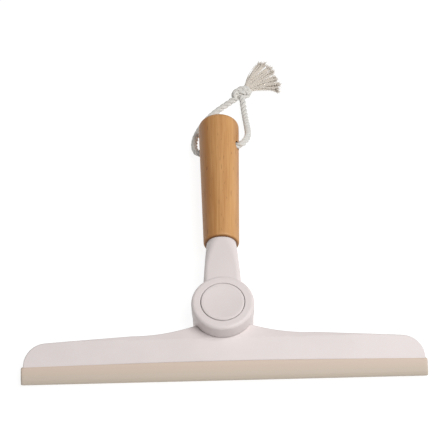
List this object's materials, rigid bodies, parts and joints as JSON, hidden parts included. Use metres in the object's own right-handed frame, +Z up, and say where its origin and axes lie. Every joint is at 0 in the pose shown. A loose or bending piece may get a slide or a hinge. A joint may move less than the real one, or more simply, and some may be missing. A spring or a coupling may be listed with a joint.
{
  "type": "window cleaning squeegee",
  "caption": "Hand squeegee with a wide rubber wiping strip, a swivelling head released by a round button, a wooden handle and a knotted hanging cord.",
  "frame": {"origin": "on the surface the squeegee lies on, under the middle of its bounding box without the hanging cord", "axes": "+X along the wiping strip, +Y towards the end of the handle, +Z up out of the button's face; the swivel axis is parallel to Z at y = -0.064 m"},
  "size_m": [0.3, 0.3139, 0.0327],
  "materials": {
    "white_plastic": "satin, warm off-white",
    "inner_plastic": "plain moulded",
    "slip_plastic": "smooth",
    "friction_rubber": "matte",
    "tan_rubber": "satin, beige",
    "steel": "zinc plated",
    "wood": "oiled, fine grain along the handle",
    "cotton_cord": "natural twisted cotton"
  },
  "bodies": {
    "handle": {"neck_front_shell": "white_plastic", "neck_rear_shell": "white_plastic", "hub_base": "inner_plastic", "hub_screws": "steel", "swivel_washer": "slip_plastic", "thrust_washer": "slip_plastic", "retaining_clip": "steel", "wood_handle": "wood", "handle_washer": "steel", "handle_screw": "steel", "hang_cord_right": "cotton_cord", "hang_cord_left": "cotton_cord", "cord_knot": "cotton_cord", "cord_tassel": "cotton_cord", "button_spring": "steel"},
    "head": {"head_front_shell": "white_plastic", "head_rear_shell": "white_plastic", "head_screws": "steel", "squeegee_blade": "tan_rubber", "blade_carrier": "inner_plastic"},
    "button": {"push_rod": "steel", "lock_disc": "inner_plastic", "friction_ring": "friction_rubber", "lock_screw": "steel", "button_cap": "white_plastic"}
  },
  "joints": [
    {"name": "head_swivel", "type": "hinge", "parent": "handle", "child": "head", "pos_m": [0, -0.064, 0.017], "axis": [0, 0, 1], "range_deg": [-90, 90]},
    {"name": "button_press", "type": "slide", "parent": "handle", "child": "button", "axis": [0, 0, -1], "range_m": [0, 0.0025], "stiffness_N_per_m": 900, "springref_m": -0.002, "deforming": ["button_spring"]}
  ]
}
